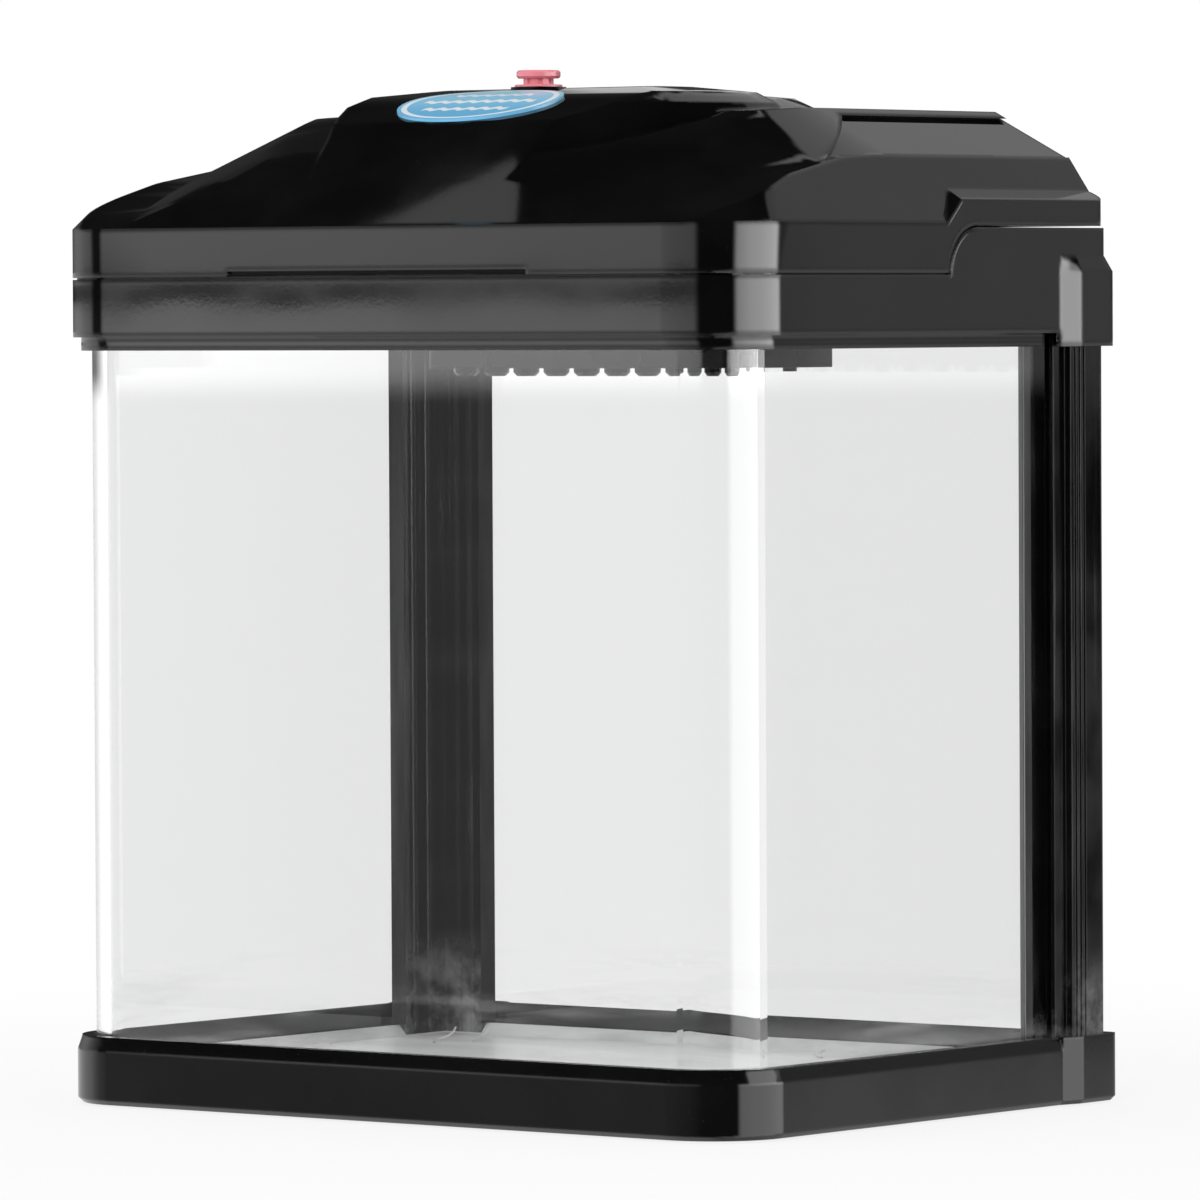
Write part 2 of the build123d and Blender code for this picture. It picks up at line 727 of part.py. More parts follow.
def lamp_cover():
    """Clear splash cover under the lamp, with a screw tab at each end."""
    z = lamp_z
    body = Pos(0, lamp_y, z + cover_h / 2) * Box(lamp_w, lamp_d, cover_h)
    body = fillet(body.edges().filter_by(Axis.Z), 3.0)
    body -= Pos(0, lamp_y, z + cover_t + cover_h / 2) * Box(lamp_w - 2 * cover_t, lamp_d - 2 * cover_t, cover_h)
    tab = peg(post_x, lamp_y, z, z + cover_t, tab_r, 24)
    tab += block(lamp_w / 2 - cover_t, post_x, lamp_y - tab_r, lamp_y + tab_r, z, z + cover_t)
    tab -= peg(post_x, lamp_y, z - 1, z + far, screw_r + 0.1)
    return body + both(tab)


def lamp_board():
    return Pos(0, lamp_y, lamp_z + cover_h + board_t / 2) * Box(lamp_w, lamp_d, board_t)


def lamp_leds():
    """White diodes under the board."""
    group = Part()
    step = (lamp_w - 4 * cover_t) / led_count
    row = lamp_d / (led_rows + 1)
    for i in range(led_count):
        for j in range(led_rows):
            x = (i - (led_count - 1) / 2) * step
            y = lamp_y + (j - (led_rows - 1) / 2) * row
            group += Pos(x, y, lamp_z + cover_h - led_h / 2) * Box(led_w, led_w * 0.8, led_h)
    return group


def lamp_screws():
    return both(screw(post_x, lamp_y, lamp_z, 1, screw_r - 0.3, lamp_screw_len))


def button_bezel():
    """Red flange ring round the button."""
    body = disc(0, button_y, bezel_z, bezel_z + bezel_h, bezel_r)
    body = chamfer(body.edges().group_by(Axis.Z)[-1], 0.2)
    return body - disc(0, button_y, bezel_z - 1, bezel_z + 2, neck_r + bush_play)


def switch_bush():
    """Bush and body of the push switch, hanging under the dome."""
    low = bezel_z - bush_len
    body = disc(0, button_y, low, bezel_z, bush_r)
    body += peg(0, button_y, low - switch_h, low, switch_r, 20)
    body -= peg(0, button_y, low, far, neck_r + bush_play, 24)
    body -= peg(0, button_y, low - switch_h + switch_floor, far, stem_r + bush_play)
    for x in (-2.2, 2.2):
        body += Pos(x, button_y, low - switch_h - 2.0) * Box(1.8, 0.6, 4.0)
    return body


def switch_nut():
    z = bezel_z - nut_boss
    hexagon = extrude(Pos(0, button_y, z - nut_h) * RegularPolygon(nut_r, 6), nut_h)
    return hexagon - disc(0, button_y, z - nut_h - 1, z + 1, bush_r + 0.03)


def button_cap():
    """Mushroom cap, notched neck and stem, in one moulding."""
    cap_z = bezel_z + bezel_h + neck_h
    cap = disc(0, button_y, cap_z, cap_z + cap_h, cap_r)
    cap = chamfer(cap.edges(), 0.4)
    neck = disc(0, button_y, bezel_z - neck_sunk, cap_z, neck_r)
    for i in range(notch_count):
        notch = Pos(neck_r, 0, bezel_z + bezel_h + neck_h / 2) * Box(0.7, 0.9, neck_h)
        neck -= Pos(0, button_y, 0) * Rot(0, 0, 360 / notch_count * i) * notch
    stem = peg(0, button_y, bezel_z - bush_len - stem_reach, bezel_z - neck_sunk, stem_r)
    return cap + neck + stem


def button_spring():
    """Return spring round the stem, between the bush's ledge and the neck."""
    top = bezel_z - neck_sunk - 0.1
    low = bezel_z - bush_len + 0.1
    tall = top - low - spring_wire
    helix = Helix(tall / spring_turns, tall, spring_r)
    wire = Plane(helix @ 0, z_dir=helix % 0) * RegularPolygon(spring_wire / 2, 4)
    return Pos(0, button_y, low + spring_wire / 2) * sweep(wire, path=helix, is_frenet=True)


def badge():
    """Oval plate that follows the dome's front slope."""
    oval = extrude(Pos(0, badge_y, 0) * Ellipse(badge_w / 2, badge_d / 2), far)
    crown = dome(0)
    return (Pos(0, 0, badge_t + badge_gap) * crown & oval) - Pos(0, 0, badge_gap) * crown


def cord_gland():
    """Rubber gland snapped into the lid's back wall."""
    z = skirt_top + gland_rise
    wall = lid_skin
    half = make_face(Polyline(
        (gland_bore_r, gland_lip_t), (gland_lip_r - 0.5, gland_lip_t), (gland_lip_r, gland_seat),
        (gland_r, gland_seat), (gland_r, -wall - gland_seat), (gland_lip_r - 0.3, -wall - gland_seat),
        (gland_bore_r + 0.8, -wall - gland_lip_t), (gland_bore_r, -wall - gland_lip_t), close=True,
    ))
    ring = revolve(half, Axis.Y)
    return Pos(gland_x, back, z) * ring


nodes = {
    "base_tray": base_tray,
    "base_feet": base_feet,
    "base_screws": base_screws,
    "floor_glass": floor_glass,
    "front_glass": front_glass,
    "rear_glass": rear_glass,
    "left_column": left_column,
    "right_column": right_column,
    "floor_seal": floor_seal,
    "column_seals": column_seals,
    "hood_frame": hood_frame,
    "frame_screws": frame_screws,
    "hinge_pins": hinge_pins,
    "filter_tray": filter_tray,
    "filter_wool": filter_wool,
    "lid_shell": lid_shell,
    "lamp_cover": lamp_cover,
    "lamp_board": lamp_board,
    "lamp_leds": lamp_leds,
    "lamp_screws": lamp_screws,
    "button_bezel": button_bezel,
    "switch_bush": switch_bush,
    "switch_nut": switch_nut,
    "button_cap": button_cap,
    "button_spring": button_spring,
    "badge": badge,
    "cord_gland": cord_gland,
}

for name, make in nodes.items():
    piece = Pos(0, -block_proud / 2, 0) * make()
    export_step(piece, "parts/" + name + ".step")
    print(name, len(piece.solids()), round(piece.volume, 1))
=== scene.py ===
import math

import bpy
from mathutils import Matrix, Vector


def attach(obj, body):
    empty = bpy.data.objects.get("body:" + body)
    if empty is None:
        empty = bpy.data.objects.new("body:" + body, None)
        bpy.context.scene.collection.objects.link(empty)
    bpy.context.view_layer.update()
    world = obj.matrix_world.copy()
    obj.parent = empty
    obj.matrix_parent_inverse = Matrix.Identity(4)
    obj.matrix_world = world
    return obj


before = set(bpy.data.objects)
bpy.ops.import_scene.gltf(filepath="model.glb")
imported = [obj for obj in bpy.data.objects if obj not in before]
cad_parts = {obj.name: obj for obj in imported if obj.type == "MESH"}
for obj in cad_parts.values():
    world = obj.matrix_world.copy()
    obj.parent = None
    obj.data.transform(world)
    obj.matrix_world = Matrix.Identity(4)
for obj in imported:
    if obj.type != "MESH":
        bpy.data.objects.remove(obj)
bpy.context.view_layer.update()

print("frame loaded:", len(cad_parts), "nodes")

# Metres. +X is right as seen from the front, -Y is the front, and the table is at z = 0.


class Wire:
    # one output of a node, which can be written into sums
    def __init__(self, tree, socket):
        self.tree = tree
        self.socket = socket

    def sum(self, operation, first, second=None):
        node = self.tree.nodes.new("ShaderNodeMath")
        node.operation = operation
        join(self.tree, node.inputs[0], first)
        if second is not None:
            join(self.tree, node.inputs[1], second)
        return Wire(self.tree, node.outputs[0])

    def out(self, name):
        return Wire(self.tree, self.socket.node.outputs[name])

    def __add__(self, other):
        return self.sum("ADD", self, other)

    def __radd__(self, other):
        return self.sum("ADD", other, self)

    def __sub__(self, other):
        return self.sum("SUBTRACT", self, other)

    def __rsub__(self, other):
        return self.sum("SUBTRACT", other, self)

    def __mul__(self, other):
        return self.sum("MULTIPLY", self, other)

    def __rmul__(self, other):
        return self.sum("MULTIPLY", other, self)

    def __truediv__(self, other):
        return self.sum("DIVIDE", self, other)

    def __abs__(self):
        return self.sum("ABSOLUTE", self)

    def over(self, limit):
        return self.sum("GREATER_THAN", self, limit)

    def under(self, limit):
        return self.sum("LESS_THAN", self, limit)

    def most(self, other):
        return self.sum("MAXIMUM", self, other)

    def root(self):
        return self.sum("SQRT", self)

    def sine(self):
        return self.sum("SINE", self)


def join(tree, socket, value):
    if isinstance(value, Wire):
        tree.links.new(value.socket, socket)
    elif hasattr(socket, "default_value"):
        socket.default_value = value


class Sheet:
    # a node tree being drawn, for a material or for the world
    def __init__(self, tree):
        self.tree = tree
        tree.nodes.clear()

    def node(self, kind, settings=None, sockets=None, out=0):
        made = self.tree.nodes.new("ShaderNode" + kind)
        for key, value in (settings or {}).items():
            if key == "stops":
                ramp = made.color_ramp
                while len(ramp.elements) < len(value):
                    ramp.elements.new(1.0)
                for element, (place, tone) in zip(ramp.elements, value):
                    element.position = place
                    element.color = (tone, tone, tone, 1)
            else:
                setattr(made, key, value)
        for key, value in (sockets or {}).items():
            join(self.tree, made.inputs[key], value)
        return Wire(self.tree, made.outputs[out])

    def place(self):
        return self.node("TexCoord", out="Object")

    def parts(self, vector):
        split = self.node("SeparateXYZ", sockets={0: vector})
        return split.out("X"), split.out("Y"), split.out("Z")

    def stretched(self, vector, scale):
        return self.node("VectorMath", {"operation": "MULTIPLY"}, {0: vector, 1: scale})

    def noise(self, scale, detail, rough, vector=None):
        sockets = {"Scale": scale, "Detail": detail, "Roughness": rough,
                   "Vector": vector or self.place()}
        return self.node("TexNoise", None, sockets, "Fac")

    def drawn(self, stretch, detail, rough):
        return self.noise(1.0, detail, rough, self.stretched(self.place(), stretch))

    def band(self, value, low, high, first=0.0, last=1.0):
        settings = {"interpolation_type": "SMOOTHSTEP"}
        sockets = {0: value, 1: low, 2: high, 3: first, 4: last}
        return self.node("MapRange", settings, sockets)

    def blend(self, share, first, second):
        sockets = {0: share, 6: first, 7: second}
        return self.node("Mix", {"data_type": "RGBA"}, sockets, 2)

    def grey(self, value):
        return self.node("CombineColor", None, {0: value, 1: value, 2: value})

    def bump(self, height, strength, distance, normal=None):
        sockets = {"Strength": strength, "Distance": distance, "Height": height}
        if normal is not None:
            sockets["Normal"] = normal
        return self.node("Bump", None, sockets)

    def mix(self, share, first, second):
        return self.node("MixShader", None, {0: share, 1: first, 2: second})

    def glow(self, kind, colour, level):
        return self.node(kind, None, {"Color": colour, "Strength": level})

    def close(self, shader, kind="OutputMaterial"):
        end = self.tree.nodes.new("ShaderNode" + kind)
        join(self.tree, end.inputs["Surface"], shader)


def newSheet(name):
    material = bpy.data.materials.new(name)
    material.use_nodes = True
    return material, Sheet(material.node_tree)


def dress(node, material):
    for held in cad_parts[node].material_slots:
        held.material = material


white = (1, 1, 1, 1)


# Camera, solved from the photograph's straight edges
camera = {"azimuth": 37.919, "height": 1.747, "roll": -0.281, "lens": 285.55, "sensor": 36,
          "distance": 2.00195, "aimRight": 0.004951, "aimUp": 0.105866, "clip": (0.05, 60)}


def makeCamera():
    turn, tilt, roll = (math.radians(camera[key]) for key in ("azimuth", "height", "roll"))
    flat = math.cos(tilt)
    back = Vector((math.sin(turn) * flat, -math.cos(turn) * flat, math.sin(tilt)))
    level = Vector((math.cos(turn), math.sin(turn), 0))
    rise = back.cross(level)
    right = math.cos(roll) * level + math.sin(roll) * rise
    up = math.cos(roll) * rise - math.sin(roll) * level
    eye = level * camera["aimRight"] + Vector((0, 0, camera["aimUp"])) + back * camera["distance"]
    data = bpy.data.cameras.new("camera")
    data.lens = camera["lens"]
    data.sensor_width = camera["sensor"]
    data.clip_start, data.clip_end = camera["clip"]
    made = bpy.data.objects.new("camera", data)
    turned = Matrix((right, up, back)).transposed().to_4x4()
    made.matrix_world = Matrix.Translation(eye) @ turned
    bpy.context.scene.collection.objects.link(made)
    bpy.context.scene.camera = made


makeCamera()
bpy.context.scene.view_settings.view_transform = "Standard"
print("camera set")

# Studio: a white surround, which the gloss shows as a wall and a table with soft boxes.
# Each ring gives azimuth in turns, where 0.5 is the front and 0.75 the right, and level.
studio = {
    "lit": 0.86,            # level of the surround on matt surfaces
    "peak": 8.0,            # highest level that a ring can hold
    "wall": (
        (0.00, 0.20), (0.09, 0.06), (0.12, 0.03), (0.15, 0.12), (0.18, 0.30), (0.25, 0.90),
        (0.33, 1.10), (0.345, 0.05), (0.3836, 0.05), (0.3848, 1.95), (0.403, 1.35), (0.532, 1.10),
        (0.550, 0.01), (0.684, 0.01), (0.698, 4.5), (0.75, 6.2), (0.83, 6.8), (0.875, 6.8),
        (0.889, 0.26), (0.8965, 0.26), (0.8985, 0.55), (0.9005, 0.28), (0.903, 0.60),
        (0.93, 0.30), (1.00, 0.16)),
    "table": (
        (0.00, 0.80), (0.10, 1.00), (0.30, 1.20), (0.345, 0.60), (0.375, 0.36), (0.403, 0.30),
        (0.50, 0.18), (0.55, 0.04), (0.684, 0.04), (0.698, 2.2), (0.75, 2.5), (0.875, 2.6),
        (0.889, 0.005), (0.915, 0.005), (0.93, 0.30), (1.00, 0.80)),
    "near": (               # the table close to the base
        (0.00, 0.60), (0.30, 1.20), (0.345, 0.60), (0.378, 0.30), (0.403, 0.24), (0.50, 0.15),
        (0.55, 0.03), (0.684, 0.03), (0.698, 2.2), (0.75, 2.5), (0.875, 2.6), (0.889, 0.75),
        (0.93, 0.80), (1.00, 0.60)),
    "tableFrom": -0.010,    # sine of the height at which the table gives way to the wall
    "tableTo": -0.006,
    "nearFrom": -0.077,     # and at which the near table gives way to the far one
    "nearTo": -0.074,
    "horizonSpan": 0.024,   # sine of the height that the far edge's shares cover
    "horizonEnd": 0.6,      # turn at which the far edge ends
    "horizonPeak": 2.0,     # highest share that the far edge can hold
    "horizon": (            # share of the wall's level across the table's far edge
        (0.0, 1.0), (0.33, 1.38), (0.53, 1.35), (0.55, 0.12), (0.60, 0.18), (0.65, 1.0)),
    "roofFrom": 0.16,       # the surround goes dark overhead
    "roofTo": 0.42,
    "roof": 0.012,
    "panelDepth": 0.001,    # keeps the division by depth finite
    "panelFront": 0.01,     # least depth at which a panel shows, so only in front of it
    "panels": {             # soft boxes far away: azimuth, and reach aside and up as tangents
        "rear": {"azimuth": 180, "aside": (-0.50, 0.64), "up": (0.36, 1.10),
                 "soft": 0.04, "level": 0.5},
        "rail": {"azimuth": 180, "aside": (0.67, 0.80), "up": (0.17, 0.38),
                 "soft": 0.02, "level": 0.7},
        "right": {"azimuth": 103, "aside": (-0.60, 0.60), "up": (0.10, 0.60),
                  "soft": 0.02, "level": 3.0},
    },
}


def addPanel(sheet, direction, panel):
    x, y, z = direction
    turn = math.radians(panel["azimuth"])
    depth = (x * math.sin(turn) - y * math.cos(turn)).most(studio["panelDepth"])
    aside = (x * math.cos(turn) + y * math.sin(turn)) / depth
    soft = panel["soft"]
    mask = depth.over(studio["panelFront"])
    for value, (low, high) in ((aside, panel["aside"]), (z / depth, panel["up"])):
        mask = mask * sheet.band(value, low - soft, low)
        mask = mask * sheet.band(value, high, high + soft, 1.0, 0.0)
    return mask * (panel["level"] / studio["peak"])


def makeWorld():
    world = bpy.data.worlds.new("studio")
    bpy.context.scene.world = world
    world.use_nodes = True
    sheet = Sheet(world.node_tree)
    direction = sheet.parts(sheet.node("TexCoord", out="Generated"))
    x, y, z = direction
    turn = x.sum("ARCTAN2", x, y * -1.0) / (2 * math.pi) + 0.5

    def ramp(stops, most, value):
        tones = [(place, level / most) for place, level in stops]
        drawn = sheet.node("ValToRGB", {"stops": tones}, {"Fac": value})
        return sheet.node("RGBToBW", None, {0: drawn})

    def ring(name):
        return ramp(studio[name], studio["peak"], turn)

    edge = ramp(studio["horizon"], studio["horizonPeak"], z / studio["horizonSpan"] + 0.5)
    edge = edge * studio["horizonPeak"] - 1.0
    edge = edge * turn.under(studio["horizonEnd"]) + 1.0
    above = sheet.band(z, studio["tableFrom"], studio["tableTo"])
    beyond = sheet.band(z, studio["nearFrom"], studio["nearTo"])
    low = ring("near") * (1.0 - beyond) + ring("table") * beyond
    level = low * (1.0 - above) + ring("wall") * edge * above
    overhead = sheet.band(z, studio["roofFrom"], studio["roofTo"])
    level = level * (1.0 - overhead) + overhead * (studio["roof"] / studio["peak"])
    for panel in studio["panels"].values():
        level = level.most(addPanel(sheet, direction, panel))
    path = sheet.node("LightPath")
    flat = sheet.glow("Background", white, studio["lit"])
    gloss = sheet.glow("Background", sheet.grey(level), studio["peak"])
    plain = sheet.glow("Background", white, 1.0)
    mirrored = path.out("Glossy Depth").over(0.5) * (1.0 - path.out("Is Diffuse Ray"))
    through = path.out("Is Camera Ray").most(path.out("Is Transmission Ray")) * (1.0 - mirrored)
    sheet.close(sheet.mix(through, sheet.mix(mirrored, flat, gloss), plain), "OutputWorld")


def addMesh(name, points, faces):
    mesh = bpy.data.meshes.new(name)
    mesh.from_pydata(points, [], faces)
    made = bpy.data.objects.new(name, mesh)
    bpy.context.scene.collection.objects.link(made)
    return made


# Floor: nearer the object it shows more of its matt tone and the shadow, and further out it is
# plain white. "share" is the part of white near the object.
table = {"radius": 1.1, "tone": 0.80, "fadeFrom": 0.15, "fadeTo": 0.42, "share": 0.84,
         "steps": 96}


def makeFloor():
    count, radius = table["steps"], table["radius"]
    turns = [2 * math.pi * i / count for i in range(count)]
    rim = [(radius * math.cos(turn), radius * math.sin(turn), 0) for turn in turns]
    made = addMesh("floor", rim, [tuple(range(count))])
    material, sheet = newSheet("paleFloor")
    x, y, z = sheet.parts(sheet.place())
    away = (x * x + y * y).root()
    matt = sheet.node("BsdfDiffuse", None, {"Color": (table["tone"],) * 3 + (1,)})
    path = sheet.node("LightPath")
    fade = sheet.band(away, table["fadeFrom"], table["fadeTo"], table["share"], 1.0)
    seen = path.out("Is Camera Ray").most(path.out("Is Transmission Ray")) * fade
    mixed = sheet.mix(seen, matt, sheet.glow("Emission", white, 1.0))
    passed = sheet.node("BsdfTransparent")  # reflected rays go on to the surround
    sheet.close(sheet.mix(path.out("Glossy Depth").over(0.5), mixed, passed))
    made.data.materials.append(material)
    made.visible_glossy = False


# Soft box that shows as the patch on the lid's sloping front, by its corners
visorBox = {"level": 0.62, "corners": (
    (-1.0485, -0.0196, 1.4089), (-0.9689, 0.0125, 1.4503), (-0.9519, -0.0265, 1.4298),
    (-1.0300, -0.0600, 1.3900))}


def makeVisorBox():
    made = addMesh("visorBox", visorBox["corners"], [(0, 1, 2, 3)])
    material, sheet = newSheet("visorBox")
    sheet.close(sheet.glow("Emission", white, visorBox["level"]))
    made.data.materials.append(material)
    made.visible_camera = False
    made.visible_diffuse = False
    made.visible_transmission = False
    made.visible_shadow = False


# Lamps for the matt surfaces; the gloss doesn't show them
lamps = {
    "frontLamp": {"place": (0.9, -1.9, 0.95), "aim": (0, 0, 0.15), "size": (1.4, 1.0),
                  "power": 14.0},
    "keyLamp": {"place": (-1.4, -1.3, 1.5), "aim": (0, 0, 0.1), "size": (0.9, 0.9),
                "power": 6.0},
    "rimLamp": {"place": (-0.9, 1.5, 0.75), "aim": (0, 0, 0.18), "size": (0.7, 0.3),
                "power": 3.0},
}


def makeLamps():
    for name, lamp in lamps.items():
        data = bpy.data.lights.new(name, "AREA")
        data.shape = "RECTANGLE"
        data.size, data.size_y = lamp["size"]
        data.energy = lamp["power"]
        made = bpy.data.objects.new(name, data)
        toward = Vector(lamp["aim"]) - Vector(lamp["place"])
        made.location = lamp["place"]
        made.rotation_euler = toward.to_track_quat("-Z", "Y").to_euler()
        made.visible_glossy = False
        bpy.context.scene.collection.objects.link(made)


makeWorld()
makeFloor()
makeVisorBox()
makeLamps()
print("studio set")

# Black mouldings: gloss over wiped clouds, a fine grain, specks of dust and a slow wave
mouldings = {
    "hood": {"tone": 0.002, "rough": 0.02, "spread": 0.02, "peel": 0.01, "wave": 0.00004,
             "dust": 0.12, "bend": 0.0015},
    "base": {"tone": 0.003, "rough": 0.05, "spread": 0.05, "peel": 0.03, "wave": 0.00006,
             "dust": 0.3, "bend": 0.0007},
    "column": {"tone": 0.002, "rough": 0.06, "spread": 0.12, "peel": 0.03, "wave": 0.00004,
               "dust": 0.2, "bend": 0.0003, "streaks": 0.05},
    "tray": {"tone": 0.006, "rough": 0.25, "spread": 0.12, "peel": 0.1, "wave": 0.00004,
             "dust": 0.2, "bend": 0.0004},
}
gloss = {                   # a noise is scale, detail and roughness, a band low and high
    "index": 1.5,
    "cloud": (38.0, 3.0, 0.5), "cloudBand": (0.35, 0.75), "cloudTone": 0.002,
    "grain": (900.0, 2.0, 0.6), "grainDepth": 0.00004,
    "speck": (2300.0, 1.0, 0.5), "speckBand": (0.74, 0.80), "speckTone": 0.10, "speckRough": 0.3,
    "wave": (26.0, 1.0, 0.4), "edgeSamples": 4,
}
streak = {                  # handling marks on the columns, and silicone smeared at the foot
    "stretch": (420.0, 420.0, 9.0), "drawn": (5.0, 0.6), "band": (0.52, 0.78), "rough": 0.2,
    "patch": (22.0, 3.0, 0.5), "patchBand": (0.42, 0.70),
    "footBand": (0.012, 0.034), "smear": (70.0, 5.0, 0.6), "smearBand": (0.40, 0.72),
    "smearTone": 0.32,
}


def blackPlastic(name, look):
    material, sheet = newSheet(name)
    grain = sheet.noise(*gloss["grain"])
    specks = sheet.band(sheet.noise(*gloss["speck"]), *gloss["speckBand"]) * look["dust"]
    wiped = sheet.band(sheet.noise(*gloss["cloud"]), *gloss["cloudBand"])
    rough = look["rough"] + wiped * look["spread"] + specks * gloss["speckRough"]
    tone = look["tone"] + specks * gloss["speckTone"] + wiped * gloss["cloudTone"]
    if "streaks" in look:
        haze = sheet.band(sheet.drawn(streak["stretch"], *streak["drawn"]), *streak["band"])
        patch = sheet.band(sheet.noise(*streak["patch"]), *streak["patchBand"])
        x, y, z = sheet.parts(sheet.place())
        foot = sheet.band(z, *streak["footBand"], 1.0, 0.0)
        foot = foot * sheet.band(sheet.noise(*streak["smear"]), *streak["smearBand"])
        tone = tone + haze * patch * look["streaks"] + foot * streak["smearTone"]
        rough = rough + haze * streak["rough"]
    edge = sheet.node("Bevel", {"samples": gloss["edgeSamples"]}, {"Radius": look["bend"]})
    slow = sheet.bump(sheet.noise(*gloss["wave"]), 1.0, look["wave"], edge)
    sheet.close(sheet.node("BsdfPrincipled", None, {
        "Base Color": sheet.grey(tone), "Roughness": rough, "IOR": gloss["index"],
        "Normal": sheet.bump(grain, look["peel"], gloss["grainDepth"], slow)}))
    return material


# Glass: clear, with a thin film of wipe marks that is thickest at the foot
glass = {
    "tint": (0.950, 0.951, 0.952, 1), "index": 1.46, "film": (0.95, 0.95, 0.95, 1),
    "shade": (0.95, 0.955, 0.955, 1),
    "cloud": (14.0, 3.0, 0.5), "cloudBand": (0.45, 0.8), "cloudShare": 0.006,
    "stretch": (16.0, 16.0, 130.0), "drawn": (5.0, 0.6), "band": (0.50, 0.80),
    "footBand": (0.014, 0.032), "footShare": 0.26, "share": 0.006,
}


def tankGlass():
    material, sheet = newSheet("tankGlass")
    wipe = sheet.band(sheet.noise(*glass["cloud"]), *glass["cloudBand"])
    stroke = sheet.band(sheet.drawn(glass["stretch"], *glass["drawn"]), *glass["band"])
    x, y, z = sheet.parts(sheet.place())
    foot = sheet.band(z, *glass["footBand"], glass["footShare"], glass["share"])
    clear = sheet.node("BsdfPrincipled", None, {
        "Base Color": glass["tint"], "Roughness": 0.0, "IOR": glass["index"],
        "Transmission Weight": 1.0})
    film = sheet.node("BsdfDiffuse", None, {"Color": glass["film"]})
    marked = sheet.mix(stroke * (foot + wipe * glass["cloudShare"]), clear, film)
    passed = sheet.node("BsdfTransparent", None, {"Color": glass["shade"]})
    path = sheet.node("LightPath")
    shade = path.out("Is Shadow Ray").most(path.out("Is Diffuse Ray"))
    sheet.close(sheet.mix(shade, marked, passed))
    return material


# Silicone, the smears it leaves on the floor pane, and the lamp's clear cover
smears = {
    "silicone": {"tones": (0.70, 0.94), "through": 0.25, "stretch": (60.0, 60.0, 260.0)},
    "blackSilicone": {"tones": (0.003, 0.045), "through": 0.0, "stretch": (220.0, 220.0, 14.0)},
    "floorPane": {"tones": (0.88, 1.0), "through": 0.12, "stretch": (14.0, 190.0, 50.0)},
    "clearPlastic": {"tones": (0.90, 0.97), "through": 0.95, "stretch": (90.0, 90.0, 90.0)},
}
smear = {"drawn": (5.0, 0.6), "band": (0.3, 0.7), "rough": 0.22, "spread": 0.2, "index": 1.41,
         "bump": (0.4, 0.0002)}


def smeared(name):
    look = smears[name]
    material, sheet = newSheet(name)
    drawn = sheet.drawn(look["stretch"], *smear["drawn"])
    low, high = ((tone, tone, tone, 1) for tone in look["tones"])
    sheet.close(sheet.node("BsdfPrincipled", None, {
        "Base Color": sheet.blend(sheet.band(drawn, *smear["band"]), low, high),
        "Roughness": smear["rough"] + drawn * smear["spread"],
        "Transmission Weight": look["through"], "IOR": smear["index"],
        "Normal": sheet.bump(drawn, *smear["bump"])}))
    return material


# Rubber: matt, finely grained, with some dust
rubbers = {"footRubber": 0.035, "glandRubber": 0.02}
rubberSkin = {"grain": (1500.0, 3.0, 0.6), "bump": (0.4, 0.00008), "rough": 0.62, "spread": 0.2,
              "dust": (90.0, 3.0, 0.6), "dustBand": (0.5, 0.75), "dustTone": 0.02}


def rubber(name):
    material, sheet = newSheet(name)
    grain = sheet.noise(*rubberSkin["grain"])
    dust = sheet.band(sheet.noise(*rubberSkin["dust"]), *rubberSkin["dustBand"])
    sheet.close(sheet.node("BsdfPrincipled", None, {
        "Base Color": sheet.grey(rubbers[name] + dust * rubberSkin["dustTone"]),
        "Roughness": rubberSkin["rough"] + grain * rubberSkin["spread"],
        "Normal": sheet.bump(grain, *rubberSkin["bump"])}))
    return material


# Bare metal with fine drawing lines
metals = {
    "screwSteel": {"tint": (0.62, 0.62, 0.60), "rough": 0.28},
    "nutMetal": {"tint": (0.70, 0.69, 0.64), "rough": 0.22},
    "springSteel": {"tint": (0.55, 0.55, 0.55), "rough": 0.2},
}
metalLines = {"stretch": (2600.0, 2600.0, 300.0), "drawn": (3.0, 0.6), "darkest": 0.8,
              "spread": 0.15, "bump": (0.2, 0.00003)}


def metal(name):
    look = metals[name]
    material, sheet = newSheet(name)
    lines = sheet.drawn(metalLines["stretch"], *metalLines["drawn"])
    dark = tuple(part * metalLines["darkest"] for part in look["tint"])
    sheet.close(sheet.node("BsdfPrincipled", None, {
        "Base Color": sheet.blend(lines, (*dark, 1), (*look["tint"], 1)), "Metallic": 1.0,
        "Roughness": look["rough"] + lines * metalLines["spread"],
        "Normal": sheet.bump(lines, *metalLines["bump"])}))
    return material


# Filter wool: fibres that cross
wool = {"along": (2400.0, 260.0, 900.0), "across": (300.0, 2100.0, 900.0), "drawn": (6.0, 0.7),
        "dark": (0.62, 0.64, 0.66, 1), "light": (0.92, 0.93, 0.94, 1), "rough": 0.9,
        "bump": (0.9, 0.0005)}


def fibre():
    material, sheet = newSheet("filterFibre")
    along, across = (sheet.drawn(wool[way], *wool["drawn"]) for way in ("along", "across"))
    mat = along.most(across)
    sheet.close(sheet.node("BsdfPrincipled", None, {
        "Base Color": sheet.blend(mat, wool["dark"], wool["light"]), "Roughness": wool["rough"],
        "Normal": sheet.bump(mat, *wool["bump"])}))
    return material


# Circuit board: a pale coat over lanes and rows of copper
board = {"lanes": 90.0, "laneWidth": 0.16, "rows": 140.0, "rowWidth": 0.10, "rough": 0.42,
         "mask": (0.80, 0.82, 0.80, 1), "copper": (0.66, 0.70, 0.66, 1), "bump": (0.3, 0.00005)}


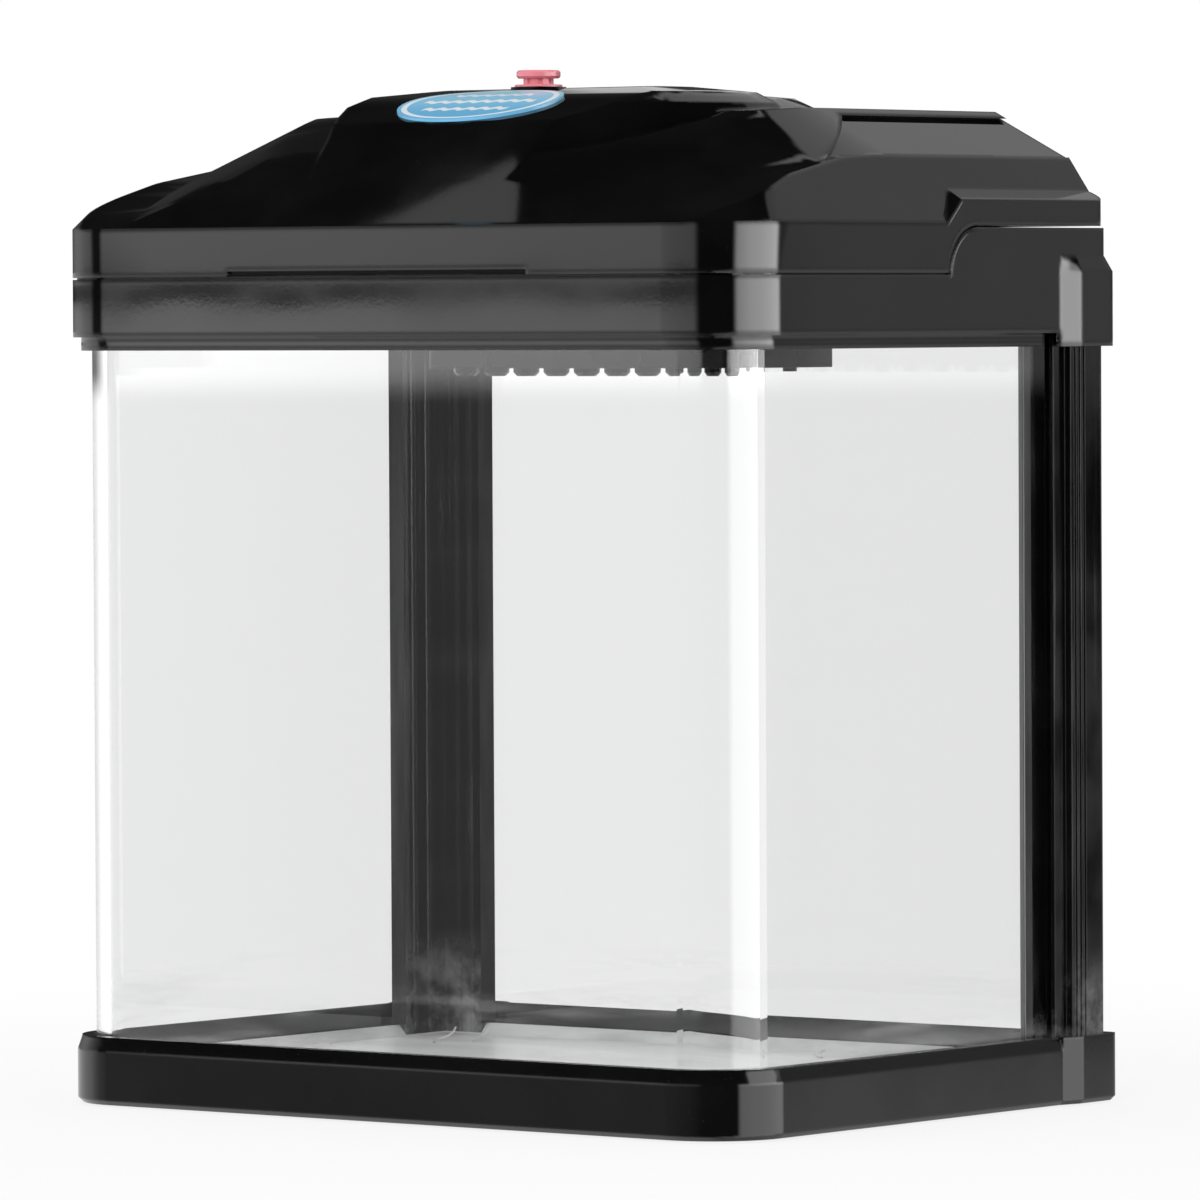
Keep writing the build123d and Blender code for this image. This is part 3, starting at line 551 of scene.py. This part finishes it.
def circuit():
    material, sheet = newSheet("circuitBoard")
    x, y, z = sheet.parts(sheet.place())
    lane = abs((x * board["lanes"]).sine()).under(board["laneWidth"])
    row = abs((y * board["rows"]).sine()).under(board["rowWidth"])
    trace = lane.most(row)
    sheet.close(sheet.node("BsdfPrincipled", None, {
        "Base Color": sheet.blend(trace, board["mask"], board["copper"]),
        "Roughness": board["rough"], "Normal": sheet.bump(trace, *board["bump"])}))
    return material


# Diodes: coated yellow resin, a little uneven
diodes = {"lump": (1400.0, 2.0, 0.5), "dark": (0.93, 0.72, 0.16, 1),
          "light": (0.97, 0.86, 0.42, 1), "rough": 0.25, "coat": 0.4}


def resin():
    material, sheet = newSheet("ledResin")
    lump = sheet.noise(*diodes["lump"])
    sheet.close(sheet.node("BsdfPrincipled", None, {
        "Base Color": sheet.blend(lump, diodes["dark"], diodes["light"]),
        "Roughness": diodes["rough"], "Coat Weight": diodes["coat"]}))
    return material


# Button and its flange: clear red, lighter in swirls
button = {"swirl": (260.0, 3.0, 0.5), "dark": (0.98, 0.22, 0.28, 1),
          "light": (1.0, 0.40, 0.46, 1), "rough": 0.14, "spread": 0.1, "bend": 0.0002,
          "through": 0.15, "index": 1.45}


def redPlastic():
    material, sheet = newSheet("redPlastic")
    swirl = sheet.noise(*button["swirl"])
    edge = sheet.node("Bevel", {"samples": gloss["edgeSamples"]}, {"Radius": button["bend"]})
    sheet.close(sheet.node("BsdfPrincipled", None, {
        "Base Color": sheet.blend(swirl, button["dark"], button["light"]),
        "Roughness": button["rough"] + swirl * button["spread"], "Normal": edge,
        "Transmission Weight": button["through"], "IOR": button["index"]}))
    return material


# Badge: a blue oval with a pale border and rows of small ripples; its own blue is lightened
# towards the back edge by a painted reflection
badge = {
    "middle": (0.0, -0.03157), "half": (0.020, 0.012), "rough": 0.22, "bump": (0.15, 0.00005),
    # light is a painted reflection over the blue, and shade spans it from the front edge to the
    # back edge
    "blue": (0.16, 0.50, 0.80, 1), "light": (0.40, 0.74, 0.93, 1), "pale": (0.86, 0.93, 0.97, 1),
    "shade": (-0.8, 0.9), "border": (0.885, 0.945), "borderSoft": 0.01,
    "rows": ((-0.42, 0.55), (0.0, 0.72), (0.42, 0.5)),      # height of a row and its half length
    "ripples": 34.0, "ripple": 0.035, "line": (0.055, 0.075), "rowSoft": 0.02,
}


def badgeFinish():
    material, sheet = newSheet("badgeBlue")
    x, y, z = sheet.parts(sheet.place())
    across = (x - badge["middle"][0]) / badge["half"][0]
    along = (y - badge["middle"][1]) / badge["half"][1]
    away = (across * across + along * along).root()
    inner, outer = badge["border"]
    soft = badge["borderSoft"]
    marks = sheet.band(away, inner - soft, inner) * sheet.band(away, outer, outer + soft, 1.0, 0.0)
    wave = (across * badge["ripples"]).sine() * badge["ripple"]
    for row, reach in badge["rows"]:
        line = sheet.band(abs(along - row - wave), *badge["line"], 1.0, 0.0)
        ends = sheet.band(abs(across), reach, reach + badge["rowSoft"], 1.0, 0.0)
        marks = marks.most(line * ends)
    # painted reflection: the blue lightens towards the back edge
    blueWithPaintedSheen = sheet.blend(sheet.band(along, *badge["shade"]), badge["blue"], badge["light"])
    sheet.close(sheet.node("BsdfPrincipled", None, {
        "Base Color": sheet.blend(marks, blueWithPaintedSheen, badge["pale"]), "Roughness": badge["rough"],
        "Normal": sheet.bump(marks, *badge["bump"])}))
    return material


hoodPlastic = blackPlastic("hoodPlastic", mouldings["hood"])
columnPlastic = blackPlastic("columnPlastic", mouldings["column"])
paneGlass = tankGlass()
silicone = smeared("silicone")
steel = metal("screwSteel")
buttonRed = redPlastic()


# Soft shading over the lid's low bends; edges sharper than the limit, in degrees, stay crisp
softening = {"limit": 24, "join": 0.000005, "weight": 90}


def smoothOver(node):
    tree = bpy.data.node_groups.new("softBends", "GeometryNodeTree")
    tree.interface.new_socket("Geometry", in_out="INPUT", socket_type="NodeSocketGeometry")
    tree.interface.new_socket("Geometry", in_out="OUTPUT", socket_type="NodeSocketGeometry")
    start = tree.nodes.new("NodeGroupInput")
    plain = tree.nodes.new("GeometryNodeRemoveAttribute")
    plain.inputs["Name"].default_value = "custom_normal"
    joined = tree.nodes.new("GeometryNodeMergeByDistance")
    joined.inputs["Distance"].default_value = softening["join"]
    soft = tree.nodes.new("GeometryNodeSetShadeSmooth")
    angle = tree.nodes.new("GeometryNodeInputMeshEdgeAngle")
    sharp = tree.nodes.new("ShaderNodeMath")
    sharp.operation = "GREATER_THAN"
    sharp.inputs[1].default_value = math.radians(softening["limit"])
    cut = tree.nodes.new("GeometryNodeSplitEdges")
    end = tree.nodes.new("NodeGroupOutput")
    chain = [start, plain, joined, soft, cut, end]
    for before, after in zip(chain, chain[1:]):
        tree.links.new(before.outputs[0], after.inputs[0])
    tree.links.new(angle.outputs["Unsigned Angle"], sharp.inputs[0])
    tree.links.new(sharp.outputs[0], cut.inputs["Selection"])
    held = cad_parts[node].modifiers.new("softBends", "NODES")
    held.node_group = tree
    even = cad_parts[node].modifiers.new("evenNormals", "WEIGHTED_NORMAL")
    even.mode = "FACE_AREA"
    even.weight = softening["weight"]


# Seam between lid and frame: a thin dark lip on the frame closes the line of sight
seam = {"half": 0.091, "front": -0.06657, "corner": 0.017, "end": 0.010, "inset": 0.0009,
        "wide": 0.0010, "low": 0.17372, "high": 0.17407, "steps": 14}


def seamLip():
    rings = []
    for inset in (seam["inset"], seam["inset"] + seam["wide"]):
        bend = seam["corner"] - inset
        x, y = seam["half"] - seam["corner"], seam["front"] + seam["corner"]
        path = [(-(x + bend), seam["end"])]
        for side, first in ((-1, 180), (1, 270)):
            for i in range(seam["steps"] + 1):
                turn = math.radians(first + 90 * i / seam["steps"])
                path.append((side * x + bend * math.cos(turn), y + bend * math.sin(turn)))
        path.append((x + bend, seam["end"]))
        rings.append(path)
    levels = (seam["low"], seam["high"])
    points = [(*spot, level) for level in levels for path in rings for spot in path]
    count = len(rings[0])
    lanes = ((0, 1), (1, 3), (3, 2), (2, 0))
    faces = [(a * count + i, b * count + i, b * count + i + 1, a * count + i + 1)
             for a, b in lanes for i in range(count - 1)]
    for i in (0, count - 1):
        faces.append(tuple(lane * count + i for lane in (0, 1, 3, 2)))
    made = addMesh("seam_lip", points, faces)
    made.data.materials.append(hoodPlastic)
    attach(made, "tank")


# Drawn-out threads of silicone by the left column's foot and on the floor pane
threads = {"thick": 0.00022, "round": 2, "order": 3, "paths": (
    ((-0.0660, 0.0420, 0.0105), (-0.0640, 0.0385, 0.0092),
     (-0.0655, 0.0340, 0.0082), (-0.0628, 0.0305, 0.0081)),
    ((-0.0610, 0.0470, 0.0104), (-0.0588, 0.0445, 0.0094),
     (-0.0596, 0.0405, 0.0084), (-0.0570, 0.0370, 0.0082)),
    ((-0.0770, 0.0130, 0.0083), (-0.0752, 0.0092, 0.0090), (-0.0760, 0.0050, 0.0082)),
    ((0.0250, 0.0500, 0.0084), (0.0282, 0.0478, 0.0096),
     (0.0270, 0.0440, 0.0083), (0.0310, 0.0420, 0.0082)),
)}


def siliconeThreads():
    data = bpy.data.curves.new("silicone_threads", "CURVE")
    data.dimensions = "3D"
    data.bevel_depth = threads["thick"]
    data.bevel_resolution = threads["round"]
    for path in threads["paths"]:
        line = data.splines.new("NURBS")
        line.points.add(len(path) - 1)
        for point, place in zip(line.points, path):
            point.co = (*place, 1)
        line.order_u = threads["order"]
        line.use_endpoint_u = True
    made = bpy.data.objects.new("silicone_threads", data)
    bpy.context.scene.collection.objects.link(made)
    data.materials.append(silicone)
    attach(made, "tank")


seamLip()
siliconeThreads()
smoothOver("lid_shell")
print("small pieces set")

# The finish of each node
finishes = {
    "lid_shell": hoodPlastic, "hood_frame": hoodPlastic,
    "base_tray": blackPlastic("basePlastic", mouldings["base"]),
    "left_column": columnPlastic, "right_column": columnPlastic,
    "filter_tray": blackPlastic("trayPlastic", mouldings["tray"]),
    "front_glass": paneGlass, "rear_glass": paneGlass, "floor_glass": smeared("floorPane"),
    "floor_seal": silicone, "column_seals": smeared("blackSilicone"),
    "lamp_cover": smeared("clearPlastic"), "lamp_board": circuit(), "lamp_leds": resin(),
    "base_feet": rubber("footRubber"), "cord_gland": rubber("glandRubber"),
    "base_screws": steel, "frame_screws": steel, "lamp_screws": steel, "hinge_pins": steel,
    "switch_nut": metal("nutMetal"), "button_spring": metal("springSteel"),
    "switch_bush": blackPlastic("switchPlastic", mouldings["tray"]),
    "filter_wool": fibre(), "badge": badgeFinish(),
    "button_cap": buttonRed, "button_bezel": buttonRed,
}
for node, material in finishes.items():
    dress(node, material)
print("finishes set")
